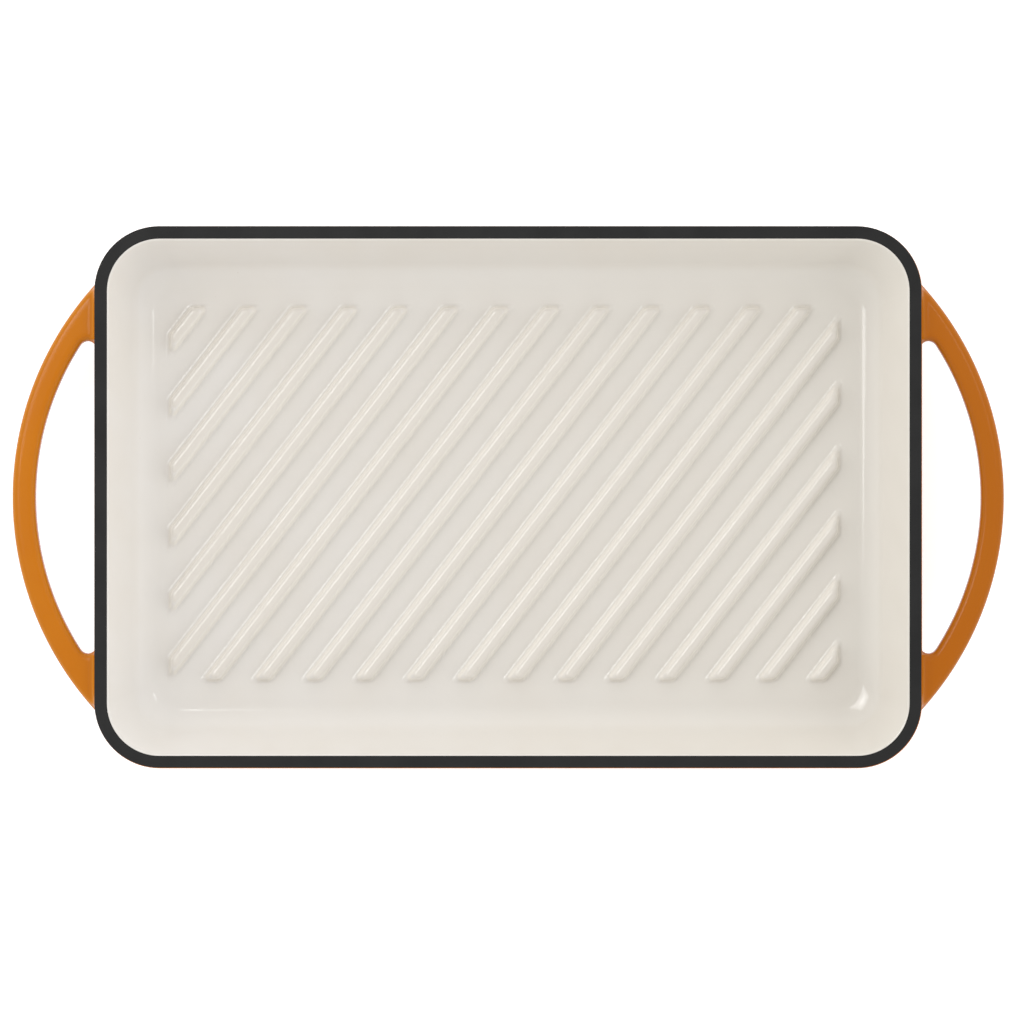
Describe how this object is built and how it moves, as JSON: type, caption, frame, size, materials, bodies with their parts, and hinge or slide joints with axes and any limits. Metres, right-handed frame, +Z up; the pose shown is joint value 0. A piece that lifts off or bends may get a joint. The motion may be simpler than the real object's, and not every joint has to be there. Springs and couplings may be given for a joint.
{
  "type": "grill plate",
  "caption": "Enamelled cast-iron grill plate: shallow rectangular tray with diagonal ribs, sloping walls, matte dark rim and a cast loop handle at each end.",
  "frame": {"origin": "bottom centre of the bounding box, on the plane that the foot rests on", "axes": "+X along the plate's length towards the right handle, +Y across it, +Z up out of the open side; the ribs rise towards +X +Y"},
  "size_m": [0.3964, 0.2162, 0.03],
  "materials": {
    "cast_iron": "sand-cast grey iron, covered by enamel",
    "cream_enamel": "glossy cream vitreous enamel",
    "orange_enamel": "glossy orange vitreous enamel",
    "black_ground_enamel": "matte, finely speckled black ground coat"
  },
  "bodies": {
    "root": {"iron_casting": "cast_iron", "cream_cooking_enamel": "cream_enamel", "black_rim_enamel": "black_ground_enamel", "black_foot_enamel": "black_ground_enamel", "orange_wall_enamel": "orange_enamel", "orange_base_enamel": "orange_enamel", "left_handle_enamel": "orange_enamel", "right_handle_enamel": "orange_enamel"}
  },
  "joints": []
}
